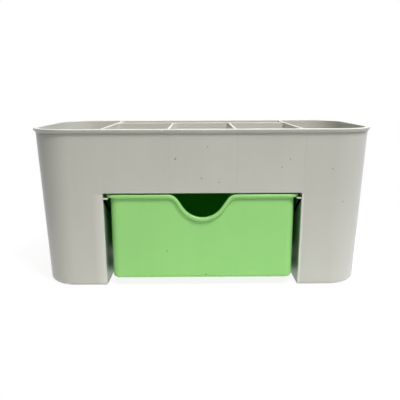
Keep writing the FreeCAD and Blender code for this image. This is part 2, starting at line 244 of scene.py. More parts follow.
class Pen:
    """Draws one closed outline in a plane of constant Y with bmesh's extrude and spin operators."""

    def __init__(self, mesh: bmesh.types.BMesh, start: Vector) -> None:
        """Sets the pen down.

        Args:
            mesh: the mesh that the outline is drawn in.
            start: the outline's first point.
        """
        self.mesh = mesh
        self.first = self.tip = mesh.verts.new(start)

    def line(self, x: float, z: float) -> None:
        """Draws a straight line.

        Args:
            x: the line's end across the front.
            z: the line's end in height.
        """
        made = bmesh.ops.extrude_vert_indiv(self.mesh, verts=[self.tip])
        self.tip = made["verts"][0]
        self.tip.co = Vector((x, self.first.co.y, z))

    def arc(self, x: float, z: float, turn: float, steps: int) -> None:
        """Draws an arc.

        Args:
            x: the centre's place across the front.
            z: the centre's height.
            turn: the angle, which is clockwise as seen from the front where it is positive.
            steps: segments along the arc.
        """
        centre = Vector((x, self.first.co.y, z))
        made = bmesh.ops.spin(self.mesh, geom=[self.tip], cent=centre, axis=(0, 1, 0), angle=turn, steps=steps,
                              use_merge=False, use_duplicate=False)
        (self.tip,) = [item for item in made["geom_last"] if isinstance(item, bmesh.types.BMVert)]

    def close(self, depth: float) -> None:
        """Closes the outline, fills it and draws the face out into a solid.

        Args:
            depth: how far the solid reaches along +Y.
        """
        self.mesh.edges.new((self.tip, self.first))
        bmesh.ops.contextual_create(self.mesh, geom=list(self.mesh.edges))
        made = bmesh.ops.extrude_face_region(self.mesh, geom=list(self.mesh.faces))
        moved = [item for item in made["geom"] if isinstance(item, bmesh.types.BMVert)]
        bmesh.ops.translate(self.mesh, verts=moved, vec=(0, depth, 0))


def apply_modifiers(piece: Piece) -> None:
    """Makes what the modifiers show the piece's own mesh.

    Args:
        piece: the object, which keeps its name.
    """
    graph = bpy.context.evaluated_depsgraph_get()
    shown = bpy.data.meshes.new_from_object(piece.evaluated_get(graph))
    old = piece.data
    piece.modifiers.clear()
    piece.data = shown
    bpy.data.meshes.remove(old)
    shown.name = piece.name


def combine(solid: Piece, tool: Piece, join: Join) -> None:
    """Joins a tool with a solid and uses the tool up.

    Args:
        solid: the object that is changed.
        tool: the object that is cut out or added.
        join: which of the two it is.
    """
    modifier = solid.modifiers.new(tool.name, "BOOLEAN")
    modifier.operation = join.value
    modifier.solver = "EXACT"
    modifier.object = tool
    apply_modifiers(solid)
    bpy.data.objects.remove(tool)


def soften(piece: Piece, radius: float) -> None:
    """Rounds every edge that is still sharp, as a mould's polished edges are, and shades the piece smoothly.

    Args:
        piece: the finished solid.
        radius: the edges' radius.
    """
    shape = bmesh.new()
    shape.from_mesh(piece.data)
    bmesh.ops.remove_doubles(shape, verts=shape.verts, dist=WELD)
    bmesh.ops.dissolve_degenerate(shape, edges=shape.edges, dist=WELD)
    bmesh.ops.dissolve_limit(shape, angle_limit=FLAT_ANGLE, verts=shape.verts, edges=shape.edges,
                             use_dissolve_boundaries=False)
    shape.to_mesh(piece.data)
    shape.free()
    piece.data.shade_smooth()
    bevel = piece.modifiers.new("edge_rounding", "BEVEL")
    bevel.width = radius
    bevel.segments = EDGE_STEPS
    bevel.limit_method = "ANGLE"
    bevel.angle_limit = SHARP_ANGLE
    bevel.use_clamp_overlap = False
    weighted = piece.modifiers.new("even_shading", "WEIGHTED_NORMAL")
    weighted.mode = "FACE_AREA_WITH_ANGLE"
    apply_modifiers(piece)


@dataclass
class BodyMoulding:
    """The body: outer wall, rim lip, end cups, tray cells, rear slot, drawer tunnel and its two rails.

    The tunnel's height, the tray's floor and the rails' low side are measured from the ground.
    """

    half_x: float
    half_y: float
    height: float
    corner: float = 27.0 * MM
    wall_lean: float = 4.3 * MM
    wall: float = 1.8 * MM
    foot_round: float = 2.5 * MM
    lip_reach: float = 1.4 * MM
    lip_height: float = 2.6 * MM
    lip_tuck: float = 1.2 * MM
    lip_flare: float = 1.5 * MM
    lip_round: float = 0.9 * MM
    floor: float = 1.8 * MM
    floor_round: float = 1.5 * MM
    cell_round: float = 2.0 * MM
    divider: float = 1.6 * MM
    divider_drop: float = 0.6 * MM
    divider_blend: float = 1.4 * MM
    slot_width: float = 20.7 * MM
    tunnel_half: float = 62.9 * MM
    tunnel_height: float = 62.6 * MM
    tray_floor: float = 65.1 * MM
    rail_reach: float = 3.0 * MM
    rail_low: float = 58.6 * MM
    rail_thickness: float = 1.0 * MM
    rail_setback: float = 0.8 * MM
    mouth_round: float = 0.6 * MM
    edge_round: float = 0.4 * MM
    spare: float = 2.0 * MM

    @classmethod
    def from_frame(cls, node: str) -> BodyMoulding:
        """A body that fills the node's box, with the rest of its sizes as they are listed."""
        low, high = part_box(node)
        return cls(half_x=(high.x - low.x) / 2, half_y=(high.y - low.y) / 2, height=high.z - low.z)

    @property
    def rim(self) -> Outline:
        """The lip's outer outline, the widest of the body."""
        return Outline.centred(self.half_x, self.half_y, self.corner)

    def wall_at(self, height: float) -> Outline:
        """The leaning wall's outer outline at a height. It is narrowest at the foot."""
        return self.rim.grown(-self.lip_reach - self.wall_lean * (1 - height / self.height))

    def inside_at(self, height: float) -> Outline:
        """The leaning wall's inner outline at a height."""
        return self.wall_at(height).grown(-self.wall)

    @property
    def partition(self) -> tuple[float, float]:
        """Front and back of the wall between the cells and the rear slot."""
        back = self.inside_at(self.height).high_y - self.slot_width
        return back - self.divider, back

    @property
    def middle_half(self) -> float:
        """Half the middle cell's width. The three cells are equally wide."""
        return (2 * self.tunnel_half - 2 * self.divider) / 6

    @property
    def rib_places(self) -> tuple[float, float]:
        """How far from the middle the dividers and the cup walls meet the outer wall."""
        return self.middle_half + self.divider / 2, self.tunnel_half + self.wall / 2

    def _outside(self) -> Piece:
        """The solid inside the outer wall and the lip.

        Returns:
            The solid, with its foot and its rim rounded.
        """
        lip_level = self.height - self.lip_height
        shell = Shell.stack([
            (0.0, self.wall_at(0.0)),
            (lip_level, self.wall_at(lip_level)),
            (lip_level, self.rim.grown(-self.lip_tuck)),
            (lip_level + self.lip_flare, self.rim),
            (self.height, self.rim),
        ], CORNER_STEPS)
        shell.round_level(0.0, self.foot_round)
        shell.round_level(lip_level + self.lip_flare, self.lip_flare - self.lip_round)
        shell.round_level(self.height, self.lip_round)
        return shell.finish("body_shell")

    def _hollow(self, name: str, floor: float, shape: Callable[[float], Outline], steps: int) -> Piece:
        """A cutter from a rounded floor up through the rim.

        Args:
            name: the cutter's name.
            floor: height of the hollow's floor.
            shape: gives the hollow's outline at a height.
            steps: segments in each corner.

        Returns:
            The cutter.
        """
        top = self.height + self.spare
        shell = Shell.stack([(floor, shape(floor)), (top, shape(top))], steps)
        shell.round_level(floor, self.floor_round)
        return shell.finish(name)

    def _cup(self, height: float) -> Outline:
        """The right cup's outline, which leans with the outer wall.

        Args:
            height: where it is taken.

        Returns:
            The outline, with the outer wall's own corners at its outer end.
        """
        inside = self.inside_at(height)
        return Outline(self.tunnel_half + self.wall, inside.high_x, inside.low_y, inside.high_y,
                       self.cell_round, inside.high_corner)

    def _cell(self, low_x: float, high_x: float, height: float) -> Outline:
        """A tray cell's outline at a height."""
        return Outline(low_x, high_x, self.inside_at(height).low_y, self.partition[0],
                       self.cell_round, self.cell_round)

    def _slot(self, height: float) -> Outline:
        """The rear slot's outline at a height."""
        return Outline(-self.tunnel_half, self.tunnel_half, self.partition[1], self.inside_at(height).high_y,
                       self.cell_round, self.cell_round)

    def _hollows(self) -> list[Piece]:
        """The six hollows that open upwards.

        Returns:
            The cutters of both cups, the three cells and the rear slot.
        """
        tray = self.tray_floor
        side = self.middle_half + self.divider
        return [
            self._hollow("right_cup", self.floor, self._cup, CORNER_STEPS),
            self._hollow("left_cup", self.floor, lambda z: self._cup(z).mirrored(), CORNER_STEPS),
            self._hollow("middle_cell", tray, lambda z: self._cell(-self.middle_half, self.middle_half, z),
                         CELL_STEPS),
            self._hollow("right_cell", tray, lambda z: self._cell(side, self.tunnel_half, z), CELL_STEPS),
            self._hollow("left_cell", tray, lambda z: self._cell(-self.tunnel_half, -side, z), CELL_STEPS),
            self._hollow("rear_slot", tray, self._slot, CELL_STEPS),
        ]

    def _divider_tops(self) -> Piece:
        """What is missing above the inner walls, whose tops lie a little below the rim.

        Returns:
            The cutter, whose leaning side leaves a short ramp where each inner wall meets the rim.
        """
        mouth = self.inside_at(self.height)
        low = mouth.grown(-self.divider_blend)
        high = mouth.grown(-self.divider_blend + self.divider_drop + self.spare)
        levels = [(self.height - self.divider_drop, low), (self.height + self.spare, high)]
        return Shell.stack(levels, CORNER_STEPS).finish("divider_tops")

    def _tunnel(self) -> Piece:
        """The drawer's tunnel, open in front and below.

        Returns:
            The cutter, whose back leans with the outer wall.
        """
        def at(height: float) -> Outline:
            """The tunnel's outline at a height."""
            back = self.inside_at(height).high_y
            return Outline(-self.tunnel_half, self.tunnel_half, -self.half_y - self.spare, back)

        return Shell.stack([(-self.spare, at(-self.spare)), (self.tunnel_height, at(self.tunnel_height))],
                           CELL_STEPS).finish("drawer_tunnel")

    def _rail(self, side: int) -> Piece:
        """One ledge that the drawer's rim hangs on.

        Args:
            side: 1 for the right and -1 for the left.

        Returns:
            The ledge, let into the tunnel's wall.
        """
        top = self.rail_low + self.rail_thickness
        front = self.wall_at(self.tunnel_height).low_y + self.rail_setback
        rail = Outline(self.tunnel_half - self.rail_reach, self.tunnel_half + self.wall / 2,
                       front, self.inside_at(0.0).high_y)
        rail = rail if side > 0 else rail.mirrored()
        return Shell.stack([(self.rail_low, rail), (top, rail)], CELL_STEPS).finish("rail")

    def _round_tunnel_mouth(self, body: Piece) -> None:
        """Rounds the two upright edges that the drawer comes out between, more than the mould's other edges.

        Args:
            body: the body with its tunnel cut and no rails yet.
        """
        def on_mouth(vert: bmesh.types.BMVert) -> bool:
            """Whether a vertex lies on an upright edge of the tunnel's mouth."""
            beside = abs(abs(vert.co.x) - self.tunnel_half) < WELD
            return beside and vert.co.y < self.inside_at(vert.co.z).low_y - self.wall / 2

        shape = bmesh.new()
        shape.from_mesh(body.data)
        edges = [edge for edge in shape.edges if all(on_mouth(vert) for vert in edge.verts)]
        bmesh.ops.bevel(shape, geom=edges, offset=self.mouth_round, offset_type="OFFSET", segments=ROUND_STEPS,
                        profile=0.5, affect="EDGES", material=-1, clamp_overlap=False)
        shape.to_mesh(body.data)
        shape.free()

    def build(self) -> Piece:
        """Moulds the body.

        Returns:
            The body's object, rounded and smoothly shaded.
        """
        body = self._outside()
        for cutter in [*self._hollows(), self._divider_tops(), self._tunnel()]:
            combine(body, cutter, Join.CUT)
        self._round_tunnel_mouth(body)
        for side in (1, -1):
            combine(body, self._rail(side), Join.ADD)
        soften(body, self.edge_round)
        body.name = body.data.name = "body_moulding"
        return body

    def _plastic(self) -> MouldedPolypropylene:
        """The body's finish, with the marks that its front has.

        Returns:
            Polypropylene coloured a warm grey.
        """
        divider_x, cup_x = self.rib_places
        # The pigment hides the plastic well and the tool is polished. So the eye gets a soft, broad highlight,
        # faint clouds where the pigment didn't mix evenly, and shaded edges that light in the wall lifts.
        return MouldedPolypropylene(
            name="moulded_polypropylene_warm_grey", colour="#CCCCC4", cloud_colour="#C4C4BB",
            speck_colour="#5C5C54", scuff_and_highlight_colour="#E9E9E1", painted_glow_colour="#C8C8B0", painted_glow_strength=0.0,
            roughness=0.31, translucence=0.15,
            front_specks=(
                Dot(-16.5, 84.9, 0.55), Dot(-17.0, 84.3, 0.45), Dot(3.2, 92.1, 0.45), Dot(-0.5, 72.2, 0.55),
                Dot(10.4, 69.7, 0.45), Dot(54.6, 84.3, 0.5), Dot(49.5, 79.1, 0.45), Dot(81.2, 78.1, 0.45),
                Dot(89.5, 56.6, 0.4),
            ),
            front_scuffs=(
                Dot(-69.2, 102.1, 0.6), Dot(-24.7, 102.0, 0.7), Dot(-12.3, 101.9, 0.6), Dot(-9.6, 101.9, 0.5),
                Dot(1.3, 101.9, 0.6),
            ),
            # Painted highlights: pale bands on the tunnel mouth's two upright edges, in place of the light
            # those edges catch.
            painted_edge_highlights=(HighlightBand(-64.0, 6.0, 62.0, 0.5), HighlightBand(63.4, 1.1, 62.0, 0.9)),
            sink_lines=(-divider_x, divider_x, cup_x),
            # Painted shade: a dull dark green on the tunnel's side walls, in place of the shade and the
            # drawer's green bounce light there.
            tunnel_shade=TunnelShade(
                "#7E9A80", inner_x=self.tunnel_half - self.wall / 2, outer_x=self.tunnel_half + self.wall / 2,
                high_z=self.rail_low, foot_y=self.wall_at(0.0).low_y,
                back_y=self.inside_at(0.0).high_y - self.wall, lean=self.wall_lean / self.height,
            ),
        )

    def dress(self, piece: Piece) -> None:
        """Gives the built piece the body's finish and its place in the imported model."""
        dress(piece, self._plastic(), "box", "box_body")


@dataclass
class DrawerMoulding:
    """The drawer: a tub with a bead round its rim and a bell-shaped finger notch in front."""

    low: Vector
    high: Vector
    bead_height: float = 2.0 * MM
    bead_side: float = 3.1 * MM
    bead_front: float = 1.5 * MM
    corner: float = 5.0 * MM
    foot_round: float = 2.5 * MM
    wall: float = 1.8 * MM
    floor_round: float = 1.5 * MM
    notch_depth: float = 15.2 * MM
    notch_belly: float = 14.7 * MM
    notch_shoulder: float = 7.5 * MM
    notch_slope: float = math.radians(56)
    edge_round: float = 0.6 * MM
    spare: float = 2.0 * MM

    @classmethod
    def from_frame(cls, node: str) -> DrawerMoulding:
        """A drawer that fills the node's box, with the rest of its sizes as they are listed."""
        return cls(*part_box(node))

    @property
    def bead(self) -> Outline:
        """The rim bead's outline."""
        corner = self.corner + self.bead_front
        return Outline(self.low.x, self.high.x, self.low.y, self.high.y, corner, corner)

    @property
    def tub(self) -> Outline:
        """The tub's outer outline."""
        return Outline(self.low.x + self.bead_side, self.high.x - self.bead_side, self.low.y + self.bead_front,
                       self.high.y - self.bead_side, self.corner, self.corner)

    def _outside(self) -> Piece:
        """The solid inside the tub and its bead.

        Returns:
            The solid, with its foot rounded.
        """
        bead_level = self.high.z - self.bead_height
        shell = Shell.stack([
            (self.low.z, self.tub),
            (bead_level, self.tub),
            (bead_level, self.bead),
            (self.high.z, self.bead),
        ], CORNER_STEPS // 2)
        shell.round_level(self.low.z, self.foot_round)
        return shell.finish("drawer_shell")

    def _inside(self) -> Piece:
        """The tub's inside.

        Returns:
            The cutter, with its floor rounded.
        """
        inside = self.tub.grown(-self.wall)
        floor = self.low.z + self.wall
        shell = Shell.stack([(floor, inside), (self.high.z + self.spare, inside)], CORNER_STEPS // 2)
        shell.round_level(floor, self.floor_round)
        return shell.finish("drawer_inside")

    def _bell(self, name: str, grow: float, lid: float, front: float, back: float) -> Piece:
        """A solid with the notch's shape: a round belly, two slopes and two round shoulders.

        Args:
            name: the object's name.
            grow: how far outside the notch's own outline it lies.
            lid: height of the flat line that closes it at the top.
            front: Y of its front face.
            back: Y of its back face.

        Returns:
            The solid.
        """
        slope = self.notch_slope
        belly, shoulder = self.notch_belly + grow, self.notch_shoulder - grow
        belly_z = self.high.z - self.notch_depth + self.notch_belly
        shoulder_z = self.high.z - self.notch_shoulder
        both = belly + shoulder
        run = (shoulder_z - belly_z + both * math.cos(slope)) / math.tan(slope)
        shoulder_x = both * math.sin(slope) + run
        belly_end = Vector((belly * math.sin(slope), belly_z - belly * math.cos(slope)))
        shoulder_end = Vector((shoulder_x - shoulder * math.sin(slope),
                               shoulder_z + shoulder * math.cos(slope)))

        shell = Shell()
        pen = Pen(shell.mesh, Vector((-shoulder_x, front, lid)))
        pen.line(-shoulder_x, shoulder_z + shoulder)
        pen.arc(-shoulder_x, shoulder_z, slope, NOTCH_STEPS // 2)
        pen.line(-belly_end.x, belly_end.y)
        pen.arc(0.0, belly_z, -2 * slope, NOTCH_STEPS)
        pen.line(shoulder_end.x, shoulder_end.y)
        pen.arc(shoulder_x, shoulder_z, slope, NOTCH_STEPS // 2)
        pen.line(shoulder_x, lid)
        pen.close(back - front)
        return shell.finish(name)

    def build(self) -> Piece:
        """Moulds the drawer.

        Returns:
            The drawer's object, rounded and smoothly shaded.
        """
        drawer = self._outside()
        wall_front = self.tub.low_y
        band = self._bell("notch_band", self.bead_height, self.high.z, self.low.y, wall_front + self.wall / 2)
        combine(drawer, band, Join.ADD)
        combine(drawer, self._inside(), Join.CUT)
        notch = self._bell("finger_notch", 0.0, self.high.z + self.spare, self.low.y - self.spare,
                           wall_front + self.wall + self.spare)
        combine(drawer, notch, Join.CUT)
        soften(drawer, self.edge_round)
        drawer.name = drawer.data.name = "drawer_moulding"
        return drawer

    def _plastic(self) -> MouldedPolypropylene:
        """The drawer's finish, with the two specks that its front has.

        Returns:
            Polypropylene coloured light green.
        """
        # The tool is polished a little finer, so the highlight is tighter than the body's. A faint green glow
        # is painted into the plastic as emission in place of light through the thin walls. It keeps the closed
        # drawer's inside deep green instead of black.
        return MouldedPolypropylene(
            name="moulded_polypropylene_light_green", colour="#9EDD82", cloud_colour="#94D478",
            speck_colour="#43733A", scuff_and_highlight_colour="#D8F4C8", painted_glow_colour="#10F010", painted_glow_strength=0.01,
            roughness=0.25, translucence=0.15,
            front_specks=(Dot(-23.1, 24.3, 0.5), Dot(2.3, 7.9, 0.55)),
        )

    def dress(self, piece: Piece) -> None:
        """Gives the built piece the drawer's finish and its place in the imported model."""
        dress(piece, self._plastic(), "drawer", "drawer")


def linear(code: str) -> tuple[float, float, float, float]:
    """Turns an sRGB hex value into a linear colour.

    Args:
        code: the value, such as #C8C8BE.

    Returns:
        Red, green, blue and full alpha.
    """
    parts = [int(code[start:start + 2], 16) / 255 for start in (1, 3, 5)]
    red, green, blue = (part / 12.92 if part <= 0.04045 else ((part + 0.055) / 1.055) ** 2.4 for part in parts)
    return red, green, blue, 1.0


def add_node(tree: Tree, kind: str, feeds: dict[str | int, Any] | None = None,
             **settings: Any) -> bpy.types.Node:
    """Adds a node with its settings and links.

    Args:
        tree: the node tree.
        kind: the node's type.
        feeds: for each input, by name or number, a value or the output socket that feeds it.
        settings: the node's own properties.

    Returns:
        The new node.
    """
    node = tree.nodes.new(kind)
    for name, value in settings.items():
        setattr(node, name, value)
    for name, value in (feeds or {}).items():
        if isinstance(value, Socket):
            tree.links.new(value, node.inputs[name])
        else:
            node.inputs[name].default_value = value
    return node


@dataclass(frozen=True)
class Dot:
    """A round mark on the front, placed across it and up it in real millimetres."""

    x: float
    z: float
    radius: float = 0.5


@dataclass(frozen=True)
class HighlightBand:
    """A painted highlight: a pale upright band on the front in real millimetres, strongest at its middle and
    gone at its reach.
    """

    x: float
    reach: float
    high_z: float
    strength: float


@dataclass(frozen=True)
class TunnelShade:
    """Painted shade on the tunnel's side walls, a little behind their edges: a dull dark green in place of the
    shade and the drawer's green bounce light there.
    """

    colour: str
    inner_x: float
    outer_x: float
    high_z: float
    foot_y: float
    back_y: float
    lean: float
    depth: float = 1.2 * MM
    fade: float = 1.6 * MM


@dataclass(frozen=True)
class Ground:
    """What a material's patterns are drawn on.

    Place holds the Object coordinates, and ahead is one on the front of the box and zero behind it.
    """

    tree: Tree
    place: Socket
    ahead: Socket


@dataclass(frozen=True)
class MouldedPolypropylene:
    """Injection-moulded polypropylene: waxy and faintly translucent, with an even satin skin.

    Up close it shows clouds where the colour mixed unevenly, flow marks that run up the walls, a fine grain
    from the mould's steel and a few dark specks of scorched plastic. The front has its own marks: specks, pale
    scuffs on the rim and the faint sink lines that form where a divider joins the wall from behind.
    """

    name: str
    colour: str
    cloud_colour: str
    speck_colour: str
    scuff_and_highlight_colour: str
    # A faint glow painted into the plastic as emission, in place of light that comes through the thin walls.
    # It shows only where hardly any other light gets in.
    painted_glow_colour: str
    painted_glow_strength: float
    roughness: float
    translucence: float
    front_specks: tuple[Dot, ...] = ()
    front_scuffs: tuple[Dot, ...] = ()
    painted_edge_highlights: tuple[HighlightBand, ...] = ()
    sink_lines: tuple[float, ...] = ()
    tunnel_shade: TunnelShade | None = None
    ior: float = 1.49
    gloss_change: float = 0.015
    glow_depth: float = 1.2 * MM
    glow_spread: tuple[float, float, float] = (1.0, 0.9, 0.8)
    # The front is all that lies before this Y.
    front: float = -44 * MM
    mark_core: float = 0.4
    sink_foot: float = 66 * MM
    sink_width: float = 1.6 * MM
    sink_depth: float = 0.05 * MM
    sink_shade: float = 0.5
    # Clouds of unevenly mixed pigment are a few centimetres wide, and flow marks run up half of a wall.
    cloud_size: float = 42 * MM
    cloud_strength: float = 0.5
    flow_width: float = 7 * MM
    flow_length: float = 60 * MM
    flow_strength: float = 0.3
    # A polished tool leaves a grain of about 0.05 mm. That is too fine to show, so it is drawn coarser.
    grain_size: float = 0.7 * MM
    grain_depth: float = 0.012 * MM
    ripple_size: float = 28 * MM
    ripple_depth: float = 0.10 * MM
    # Real specks are often finer than 0.2 mm. They are drawn as coarse as they need to show.
    speck_spacing: float = 11 * MM
    speck_radius: float = 0.42 * MM
    speck_core: float = 0.5
    speck_strength: float = 0.7

    def material(self) -> bpy.types.Material:
        """The finish as a material on Object coordinates.

        Returns:
            The material, which is named for the plastic.
        """
        material = bpy.data.materials.new(self.name)
        material.use_nodes = True
        tree = material.node_tree
        tree.nodes.clear()
        place = add_node(tree, "ShaderNodeTexCoord").outputs["Object"]
        along = add_node(tree, "ShaderNodeSeparateXYZ", {"Vector": place}).outputs["Y"]
        ahead = add_node(tree, "ShaderNodeMath", {0: along, 1: self.front}, operation="LESS_THAN").outputs[0]
        ground = Ground(tree, place, ahead)
        sinks = self._sinks(ground)
        shader = add_node(tree, "ShaderNodeBsdfPrincipled", {
            "Base Color": self._colour(ground, sinks),
            "Roughness": self._gloss(ground),
            "Normal": self._relief(ground, sinks),
            "IOR": self.ior,
            "Subsurface Weight": self.translucence,
            "Subsurface Radius": self.glow_spread,
            "Subsurface Scale": self.glow_depth,
            "Emission Color": linear(self.painted_glow_colour),
            "Emission Strength": self.painted_glow_strength,
        })
        add_node(tree, "ShaderNodeOutputMaterial", {"Surface": shader.outputs["BSDF"]})
        return material

    def _dots(self, ground: Ground, dots: Sequence[Dot]) -> Socket:
        """The front's round marks of one kind.

        Args:
            ground: what they are drawn on.
            dots: the marks.

        Returns:
            One on each mark, zero elsewhere.
        """
        tree = ground.tree
        flat = add_node(tree, "ShaderNodeMapping", {
            "Vector": ground.place, "Scale": (1, 0, 1),
        }).outputs["Vector"]
        marked: Any = 0.0
        for dot in dots:
            away = add_node(tree, "ShaderNodeVectorMath", {0: flat, 1: (dot.x * MM, 0, dot.z * MM)},
                            operation="DISTANCE")
            spot = add_node(tree, "ShaderNodeMapRange", {
                "Value": away.outputs["Value"], "From Min": dot.radius * self.mark_core * MM,
                "From Max": dot.radius * MM, "To Min": 1.0, "To Max": 0.0,
            })
            marked = add_node(tree, "ShaderNodeMath", {0: marked, 1: spot.outputs["Result"]},
                              operation="MAXIMUM").outputs[0]
        return add_node(tree, "ShaderNodeMath", {0: marked, 1: ground.ahead}, operation="MULTIPLY").outputs[0]

    def _painted_highlights(self, ground: Ground) -> Socket:
        """Painted highlights along the upright edges of the tunnel's mouth on the front.

        Args:
            ground: what they are drawn on.

        Returns:
            How pale the front is, from zero to one.
        """
        tree = ground.tree
        axes = add_node(tree, "ShaderNodeSeparateXYZ", {"Vector": ground.place})
        marked: Any = 0.0
        for band in self.painted_edge_highlights:
            offset = add_node(tree, "ShaderNodeMath", {0: axes.outputs["X"], 1: band.x * MM},
                              operation="SUBTRACT")
            away = add_node(tree, "ShaderNodeMath", {0: offset.outputs[0]}, operation="ABSOLUTE")
            beside = add_node(tree, "ShaderNodeMapRange", {
                "Value": away.outputs[0], "From Min": 0.0, "From Max": band.reach * MM,
                "To Min": band.strength, "To Max": 0.0,
            }).outputs["Result"]
            below = add_node(tree, "ShaderNodeMath", {0: axes.outputs["Z"], 1: band.high_z * MM},
                             operation="LESS_THAN").outputs[0]
            here = add_node(tree, "ShaderNodeMath", {0: beside, 1: below}, operation="MULTIPLY").outputs[0]
            marked = add_node(tree, "ShaderNodeMath", {0: marked, 1: here}, operation="MAXIMUM").outputs[0]
        return add_node(tree, "ShaderNodeMath", {0: marked, 1: ground.ahead}, operation="MULTIPLY").outputs[0]

    def _painted_tunnel_shade(self, ground: Ground, tunnel_shade: TunnelShade) -> Socket:
        """Painted shade on the tunnel's side walls, where the drawer shades them and bounces green light onto
        them.

        Args:
            ground: what they are drawn on.
            tunnel_shade: where the painted shade lies.

        Returns:
            One on the shaded faces, fading in a little behind their front edges, and zero elsewhere.
        """
        tree = ground.tree
        axes = add_node(tree, "ShaderNodeSeparateXYZ", {"Vector": ground.place})
        aside = add_node(tree, "ShaderNodeMath", {0: axes.outputs["X"]}, operation="ABSOLUTE").outputs[0]
        upright = add_node(tree, "ShaderNodeVectorMath", {0: ground.place, 1: (0.0, 1.0, tunnel_shade.lean)},
                           operation="DOT_PRODUCT")
        marked = add_node(tree, "ShaderNodeMapRange", {
            "Value": upright.outputs["Value"], "From Min": tunnel_shade.foot_y + tunnel_shade.depth,
            "From Max": tunnel_shade.foot_y + tunnel_shade.depth + tunnel_shade.fade,
        }).outputs["Result"]
        limits = (
            (aside, "GREATER_THAN", tunnel_shade.inner_x), (aside, "LESS_THAN", tunnel_shade.outer_x),
            (axes.outputs["Z"], "LESS_THAN", tunnel_shade.high_z), (axes.outputs["Y"], "LESS_THAN", tunnel_shade.back_y),
        )
        for value, side, limit in limits:
            share = add_node(tree, "ShaderNodeMath", {0: value, 1: limit}, operation=side).outputs[0]
            marked = add_node(tree, "ShaderNodeMath", {0: marked, 1: share}, operation="MULTIPLY").outputs[0]
        return marked

    def _sinks(self, ground: Ground) -> Socket:
        """The front's sink lines.

        Args:
            ground: what they are drawn on.

        Returns:
            One along the middle of each line, fading to zero at its sides.
        """
        tree = ground.tree
        axes = add_node(tree, "ShaderNodeSeparateXYZ", {"Vector": ground.place})
        marked: Any = 0.0
        for line in self.sink_lines:
            beside = add_node(tree, "ShaderNodeMath", {0: axes.outputs["X"], 1: line}, operation="SUBTRACT")
            away = add_node(tree, "ShaderNodeMath", {0: beside.outputs[0]}, operation="ABSOLUTE")
            ridge = add_node(tree, "ShaderNodeMapRange", {
                "Value": away.outputs[0], "From Min": 0.0, "From Max": self.sink_width / 2,
                "To Min": 1.0, "To Max": 0.0,
            }, interpolation_type="SMOOTHSTEP")
            marked = add_node(tree, "ShaderNodeMath", {0: marked, 1: ridge.outputs["Result"]},
                              operation="MAXIMUM").outputs[0]
        above = add_node(tree, "ShaderNodeMapRange", {
            "Value": axes.outputs["Z"], "From Min": self.sink_foot,
            "From Max": self.sink_foot + self.sink_width,
        }).outputs["Result"]
        for share in (above, ground.ahead):
            marked = add_node(tree, "ShaderNodeMath", {0: marked, 1: share}, operation="MULTIPLY").outputs[0]
        return marked

    def _noise(self, tree: Tree, place: Socket, size: float, detail: float, low: float, high: float) -> Socket:
        """A soft random pattern.

        Args:
            tree: the node tree.
            place: the coordinates that it is drawn on.
            size: the size of its features.
            detail: how many finer patterns are laid over it.
            low: what its low values become.
            high: what its high values become.

        Returns:
            The pattern.
        """
        noise = add_node(tree, "ShaderNodeTexNoise", {"Vector": place, "Scale": 1 / size, "Detail": detail})
        spread = add_node(tree, "ShaderNodeMapRange", {
            "Value": noise.outputs["Fac"], "From Min": NOISE_RANGE[0], "From Max": NOISE_RANGE[1],
            "To Min": low, "To Max": high,
        })
        return spread.outputs["Result"]

    def _specks(self, ground: Ground) -> Socket:
        """The dark specks: the front's own, and strewn ones on all other faces.

        Args:
            ground: what they are drawn on.

        Returns:
            How dark each place is, from zero to one.
        """
        tree = ground.tree
        cells = add_node(tree, "ShaderNodeTexVoronoi", {
            "Vector": ground.place, "Scale": 1 / self.speck_spacing,
        })
        edge = self.speck_radius / self.speck_spacing
        strewn = add_node(tree, "ShaderNodeMapRange", {
            "Value": cells.outputs["Distance"], "From Min": edge * self.speck_core, "From Max": edge,
            "To Min": self.speck_strength, "To Max": 0.0,
        }).outputs["Result"]
        behind = add_node(tree, "ShaderNodeMath", {0: 1.0, 1: ground.ahead}, operation="SUBTRACT").outputs[0]
        kept = add_node(tree, "ShaderNodeMath", {0: strewn, 1: behind}, operation="MULTIPLY").outputs[0]
        front = self._dots(ground, self.front_specks)
        return add_node(tree, "ShaderNodeMath", {0: kept, 1: front}, operation="MAXIMUM").outputs[0]

    def _colour(self, ground: Ground, sinks: Socket) -> Socket:
        """The plastic's colour with its clouds, flow marks, sink lines, specks, scuffs, painted highlights and
        painted shade.

        Args:
            ground: what they are drawn on.
            sinks: the sink lines.

        Returns:
            The colour.
        """
        tree, place = ground.tree, ground.place
        clouds = self._noise(tree, place, self.cloud_size, 2.0, 0.0, self.cloud_strength)
        across, along = 1 / self.flow_width, 1 / self.flow_length
        stretched = add_node(tree, "ShaderNodeMapping", {"Vector": place, "Scale": (across, across, along)})
        flow = self._noise(tree, stretched.outputs["Vector"], 1.0, 3.0, 0.0, self.flow_strength)
        sunk = add_node(tree, "ShaderNodeMath", {0: sinks, 1: self.sink_shade}, operation="MULTIPLY").outputs[0]
        layers = [(clouds, self.cloud_colour), (flow, self.cloud_colour), (sunk, self.cloud_colour),
                  (self._painted_highlights(ground), self.scuff_and_highlight_colour)]
        if self.tunnel_shade:
            layers.append((self._painted_tunnel_shade(ground, self.tunnel_shade), self.tunnel_shade.colour))
        layers += [(self._specks(ground), self.speck_colour),
                   (self._dots(ground, self.front_scuffs), self.scuff_and_highlight_colour)]

        colour: Any = linear(self.colour)
        for share, tint in layers:
            colour = add_node(tree, "ShaderNodeMix", {0: share, MIX_A: colour, MIX_B: linear(tint)},
                              data_type="RGBA").outputs[MIX_RESULT]
        return colour

    def _gloss(self, ground: Ground) -> Socket:
        """The skin's roughness, a little uneven from handling."""
        low, high = self.roughness - self.gloss_change, self.roughness + self.gloss_change
        return self._noise(ground.tree, ground.place, self.cloud_size, 1.0, low, high)

